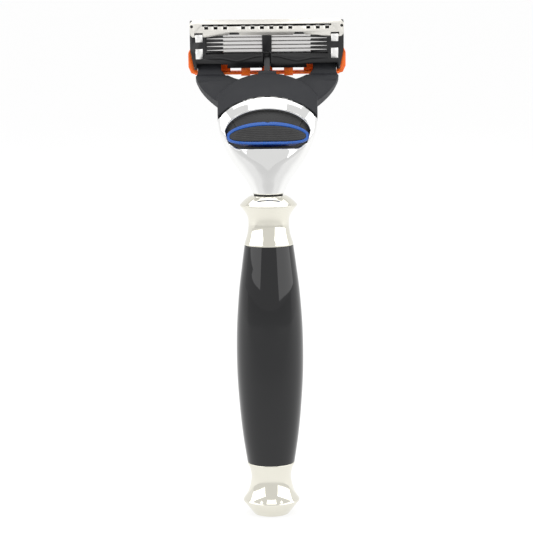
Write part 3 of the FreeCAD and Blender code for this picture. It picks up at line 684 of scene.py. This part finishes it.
def sweep_material():
    """White paper that glows a little less in front of the razor than behind it."""
    paint = bpy.data.materials.new("sweep_white")
    paint.use_nodes = True
    nodes, links = paint.node_tree.nodes, paint.node_tree.links
    shader = nodes["Principled BSDF"]
    shader.inputs["Base Color"].default_value = (0.25, 0.25, 0.25, 1)
    shader.inputs["Roughness"].default_value = 0.7
    shader.inputs["Specular IOR Level"].default_value = 0.0
    shader.inputs["Emission Color"].default_value = (1, 1, 1, 1)
    place = nodes.new("ShaderNodeTexCoord")
    split = nodes.new("ShaderNodeSeparateXYZ")
    glow = nodes.new("ShaderNodeMapRange")
    glow.interpolation_type = "SMOOTHSTEP"
    glow.inputs["From Min"].default_value = -0.2
    glow.inputs["From Max"].default_value = 0.03
    glow.inputs["To Min"].default_value = 0.52
    glow.inputs["To Max"].default_value = 0.76
    links.new(place.outputs["Object"], split.inputs["Vector"])
    links.new(split.outputs["Y"], glow.inputs["Value"])
    links.new(glow.outputs["Result"], shader.inputs["Emission Strength"])
    return paint


def paper_sweep():
    """A floor that curves up into a wall behind the razor."""
    reach, wall_y, wall_top, curve = 6.0, 2.4, 2.6, 0.8
    angles = [math.pi / 2 * k / 16 for k in range(1, 17)]
    profile = [(-reach, 0.0), (wall_y - curve, 0.0)]
    profile += [(wall_y - curve + curve * math.sin(a), curve - curve * math.cos(a)) for a in angles]
    profile.append((wall_y, wall_top))
    corners = [(x, y, z) for y, z in profile for x in (-reach, reach)]
    faces = [(2 * k, 2 * k + 1, 2 * k + 3, 2 * k + 2) for k in range(len(profile) - 1)]
    sweep_mesh = bpy.data.meshes.new("sweep")
    sweep_mesh.from_pydata(corners, [], faces)
    sweep_mesh.shade_smooth()
    sweep_mesh.materials.append(sweep_material())
    sweep = bpy.data.objects.new("sweep", sweep_mesh)
    bpy.context.scene.collection.objects.link(sweep)


def studio():
    """Soft light from a pale tent and four panels."""
    world = bpy.data.worlds.new("tent")
    world.use_nodes = True
    back = world.node_tree.nodes["Background"]
    back.inputs["Color"].default_value = (1.0, 1.0, 1.0, 1)
    back.inputs["Strength"].default_value = 0.82
    bpy.context.scene.world = world

    target = (0, 0, 0.07)
    soft_panel("panel_left", (-0.567, -0.195, 0.28), target, (0.94, 0.36), 1.3)
    soft_panel("panel_right", (0.567, -0.195, 0.25), target, (0.94, 0.39), 1.3)
    soft_panel("panel_front", (0.0, -0.38, 0.66), target, (0.42, 0.24), 1.2)
    soft_panel("panel_top", (0.0, 0.05, 0.95), target, (1.5, 1.1), 1.05)


def camera():
    """The photograph's view: level with the head and tilted a little down."""
    lens = bpy.data.cameras.new("camera")
    lens.sensor_width = 36
    lens.lens = 129.7
    lens.clip_start = 0.01
    lens.shift_x = -0.005
    lens.shift_y = 0.0022
    holder = bpy.data.objects.new("camera", lens)
    holder.location = (0.0, -0.5, 0.1364)
    holder.rotation_mode = "QUATERNION"
    holder.rotation_quaternion = (Euler((math.radians(82.0), 0, 0)).to_quaternion()
                                  @ Euler((0, 0, math.radians(-0.6))).to_quaternion())
    bpy.context.scene.collection.objects.link(holder)
    bpy.context.scene.camera = holder
    bpy.context.scene.view_settings.view_transform = "Standard"


def dress_cad_nodes():
    """Nodes whose CAD shape is right keep it and get their material."""
    plain = {"tie_rod": STEEL, "docking_core": CORE, "core_screw": SCREW, "plunger_spring": STEEL,
             "guard_fins": FIN, "trimmer_blade": BLADE}
    for i in range(1, 6):
        plain["blade_%d" % i] = BLADE
        plain["blade_support_%d" % i] = SUPPORT
    for node, material in plain.items():
        mesh = frame["nodes"][node].data
        mesh.materials.clear()
        mesh.materials.append(material)


def cartridge():
    """Broken edges on stamped and cut parts, soft ones on the moulded parts."""
    bevelled("cartridge_housing", 0.14, HOUSING)
    bevelled("guard", 0.16, ORANGE)
    bevelled("lubricating_strip", 0.15, STRIP)
    bevelled("trimmer_guard", 0.07, COMB)
    bevelled("clip_left", 0.07, CLIP)
    bevelled("clip_right", 0.07, CLIP)
    bevelled("plunger", 0.12, PLUNGER)
    moulded("connecting_member", 0.12, 14, MEMBER)
    moulded("ejector_slide", 0.09, 4, CHARCOAL)


shelf_ridge(-1)
shelf_ridge(1)
ferrules()
grip()
washer()
head_shell()
eject_button()
cartridge()
dress_cad_nodes()
paper_sweep()
studio()
camera()
